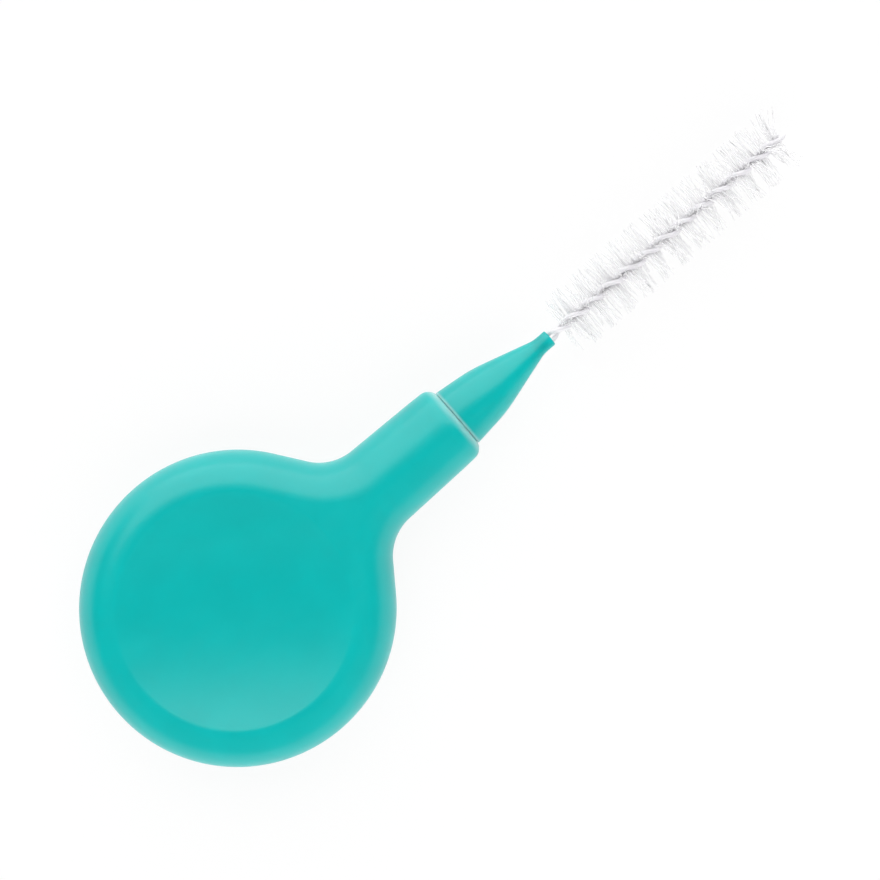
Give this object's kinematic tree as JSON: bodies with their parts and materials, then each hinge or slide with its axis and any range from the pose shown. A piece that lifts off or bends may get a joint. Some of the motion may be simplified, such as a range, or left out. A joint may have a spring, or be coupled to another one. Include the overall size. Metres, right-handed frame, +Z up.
{
  "type": "interdental brush",
  "caption": "Pocket interdental brush: a dished round finger disc on a short neck, with a plug-in head of nylon filaments in a twisted steel wire.",
  "frame": {"origin": "centre of the finger disc, on the plane of the lower flat ring that the brush lies on", "axes": "+X from the disc's centre along the neck to the tip of the brush, +Z up, square to the disc"},
  "size_m": [0.0446, 0.016, 0.0044],
  "materials": {
    "grip_plastic": "moulded, soft gloss",
    "collar_plastic": "moulded, soft gloss",
    "core_steel": "drawn stainless wire",
    "filament_nylon": "translucent white filament"
  },
  "bodies": {
    "handle": {"grip": "grip_plastic"},
    "brush_head": {"brush_collar": "collar_plastic", "core_wire": "core_steel", "filament_row_01": "filament_nylon", "filament_row_02": "filament_nylon", "filament_row_03": "filament_nylon", "filament_row_04": "filament_nylon", "filament_row_05": "filament_nylon", "filament_row_06": "filament_nylon", "filament_row_07": "filament_nylon", "filament_row_08": "filament_nylon", "filament_row_09": "filament_nylon", "filament_row_10": "filament_nylon", "filament_row_11": "filament_nylon", "filament_row_12": "filament_nylon"}
  },
  "joints": [
    {"name": "head_release", "type": "slide", "parent": "handle", "child": "brush_head", "axis": [1, 0, 0], "range_m": [0, 0.008]}
  ]
}
